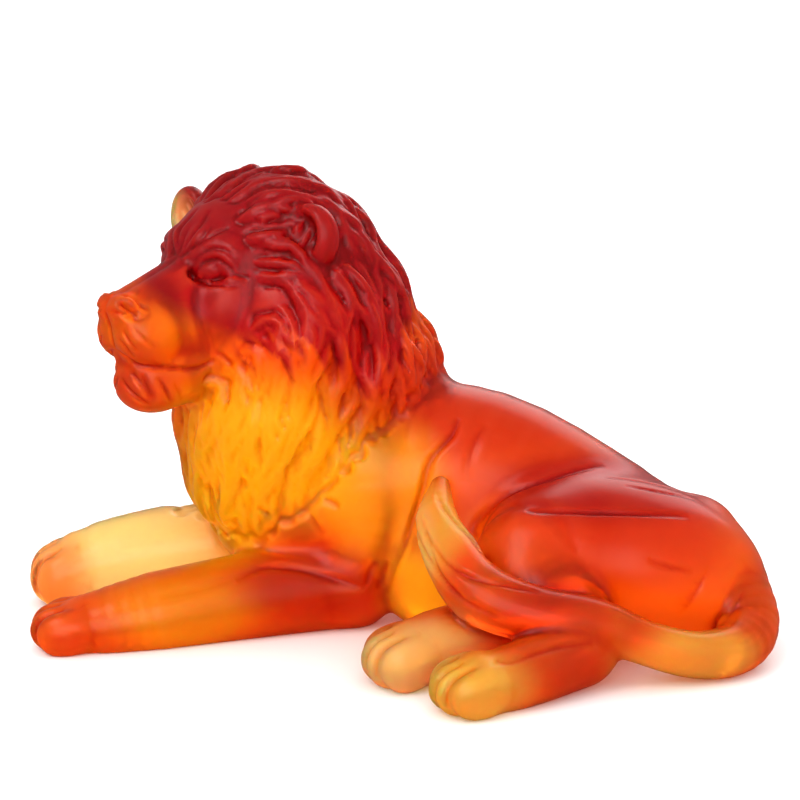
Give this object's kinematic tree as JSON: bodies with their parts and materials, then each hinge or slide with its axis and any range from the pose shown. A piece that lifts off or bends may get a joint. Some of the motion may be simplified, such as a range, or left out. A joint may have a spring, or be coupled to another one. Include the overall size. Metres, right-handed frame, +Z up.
{
  "type": "crystal lion sculpture",
  "caption": "Recumbent lion sculpture cast solid in amber and crimson crystal, with its maned head turned to its left, forelegs out in front and tail laid round its hind feet.",
  "frame": {"origin": "middle of the bounding box at the height of the flat underside", "axes": "+X along the body from the forepaws to the rump, so the lion faces -X; +Y towards its right side; +Z up"},
  "size_m": [0.307, 0.1956, 0.1874],
  "materials": {
    "crystal": "satin cast crystal, shading from crimson on the head through orange to pale amber at the paws and tail"
  },
  "bodies": {
    "root": {"lion": "crystal"}
  },
  "joints": []
}
